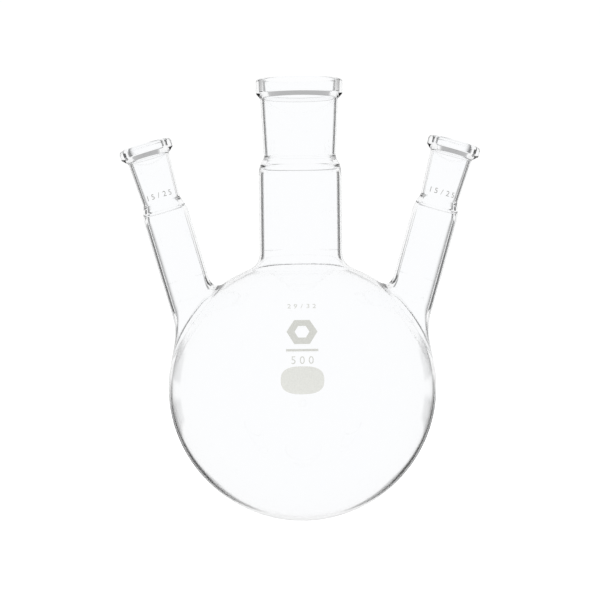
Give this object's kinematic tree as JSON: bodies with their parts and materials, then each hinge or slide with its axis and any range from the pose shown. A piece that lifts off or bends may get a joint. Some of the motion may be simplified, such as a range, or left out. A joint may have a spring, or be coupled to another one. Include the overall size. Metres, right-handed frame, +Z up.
{
  "type": "round bottom flask",
  "caption": "Round-bottom laboratory flask with a centre neck and angled side necks, each with a tapered ground-joint socket and a thick rim.",
  "frame": {"origin": "the lowest point of the ball, on the axis of the centre neck", "axes": "+Z up along the centre neck; +X towards the right neck; -Y is the front, with the enamel marks"},
  "size_m": [0.1426, 0.1063, 0.1738],
  "materials": {
    "glass": "clear fire-polished borosilicate glass",
    "enamel": "matte fired enamel, pale warm grey"
  },
  "bodies": {
    "root": {"bulb": "glass", "centre_neck": "glass", "centre_socket": "glass", "left_neck": "glass", "left_socket": "glass", "right_neck": "glass", "right_socket": "glass", "marking_spot": "enamel", "emblem": "enamel", "name_bar": "enamel", "capacity_1": "enamel", "capacity_2": "enamel", "capacity_3": "enamel", "centre_size_1": "enamel", "centre_size_2": "enamel", "centre_size_3": "enamel", "centre_size_4": "enamel", "centre_size_5": "enamel", "left_size_1": "enamel", "left_size_2": "enamel", "left_size_3": "enamel", "left_size_4": "enamel", "left_size_5": "enamel", "right_size_1": "enamel", "right_size_2": "enamel", "right_size_3": "enamel", "right_size_4": "enamel", "right_size_5": "enamel"}
  },
  "joints": []
}
